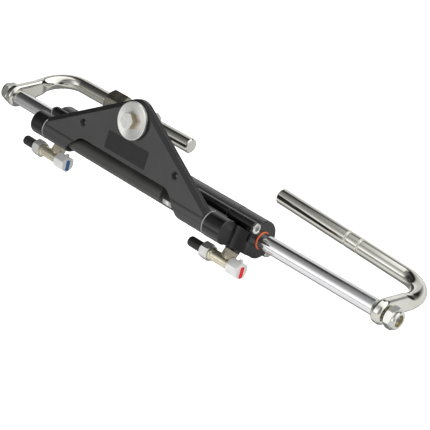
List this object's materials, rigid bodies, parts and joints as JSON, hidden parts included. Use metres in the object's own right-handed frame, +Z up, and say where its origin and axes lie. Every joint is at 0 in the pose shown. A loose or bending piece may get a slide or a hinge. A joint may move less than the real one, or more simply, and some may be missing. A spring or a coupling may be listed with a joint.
{
  "type": "outboard steering cylinder",
  "caption": "Hydraulic steering cylinder sliding on a fixed rod held by two bent support arms, with a hinged triangular tiller plate, end heads and tee hose fittings.",
  "frame": {"origin": "on the piston rod's axis, midway between the eyes of the two support arms", "axes": "+X along the piston rod, +Y from the rod back towards the tilt rods, +Z up, with the tilt rods level with the piston rod"},
  "size_m": [0.5406, 0.1324, 0.1243],
  "materials": {
    "rod_chrome": "hard chrome, polished along the rod",
    "arm_steel": "polished stainless steel",
    "nut_steel": "bright zinc plate",
    "nylon": "natural nylon",
    "black_casting": "black satin coated casting",
    "black_tube": "black anodised tube",
    "black_plate": "charcoal satin coat",
    "dark_shaft": "dark oiled steel",
    "zinc": "light zinc plate",
    "tee_metal": "brass with worn nickel plate",
    "cap_rubber": "moulded black rubber",
    "wiper": "orange polyurethane",
    "seal_rubber": "black rubber",
    "bush_metal": "bronze bush",
    "bush_light": "light grey bush",
    "mark_blue": "blue film",
    "mark_red": "red film",
    "label_black": "bare black film"
  },
  "bodies": {
    "rod": {"piston_rod": "rod_chrome", "piston": "black_tube", "piston_seal": "seal_rubber", "left_arm": "arm_steel", "right_arm": "arm_steel", "left_rod_nut": "nut_steel", "right_rod_nut": "nut_steel", "left_nut_insert": "nylon", "right_nut_insert": "nylon", "hex_collar": "arm_steel"},
    "cylinder": {"barrel": "black_tube", "pivot_shaft": "dark_shaft", "left_head": "black_casting", "left_rod_bush": "bush_metal", "left_rod_seal": "seal_rubber", "left_o_ring": "seal_rubber", "left_wiper": "wiper", "left_head_screws": "zinc", "left_tee": "tee_metal", "left_hose_nut": "zinc", "left_hose_cap": "cap_rubber", "left_bleeder": "zinc", "left_end_mark": "mark_blue", "right_head": "black_casting", "right_rod_bush": "bush_metal", "right_rod_seal": "seal_rubber", "right_o_ring": "seal_rubber", "right_wiper": "wiper", "right_head_screws": "zinc", "right_tee": "tee_metal", "right_hose_nut": "zinc", "right_hose_cap": "cap_rubber", "right_bleeder": "zinc", "right_end_mark": "mark_red"},
    "tiller_plate": {"tiller_plate": "black_plate", "apex_bush": "bush_light", "label_field": "label_black", "left_hub_bush": "bush_light", "right_hub_bush": "bush_light"},
    "tiller_bolt": {"tiller_bolt": "zinc", "big_washer": "zinc", "tiller_spacer": "zinc", "tiller_nut": "zinc"}
  },
  "joints": [
    {"name": "cylinder_slide", "type": "slide", "parent": "rod", "child": "cylinder", "axis": [1, 0, 0], "range_m": [-0.0637, 0.133]},
    {"name": "plate_hinge", "type": "hinge", "parent": "cylinder", "child": "tiller_plate", "pos_m": [-0.0363, -0.0356, 0.0171], "axis": [1, 0, 0], "range_deg": [-35, 45]},
    {"name": "bolt_turn", "type": "hinge", "parent": "tiller_plate", "child": "tiller_bolt", "pos_m": [-0.0363, -0.01759, 0.06769], "axis": [0, -0.9421, 0.3355], "continuous": true}
  ]
}
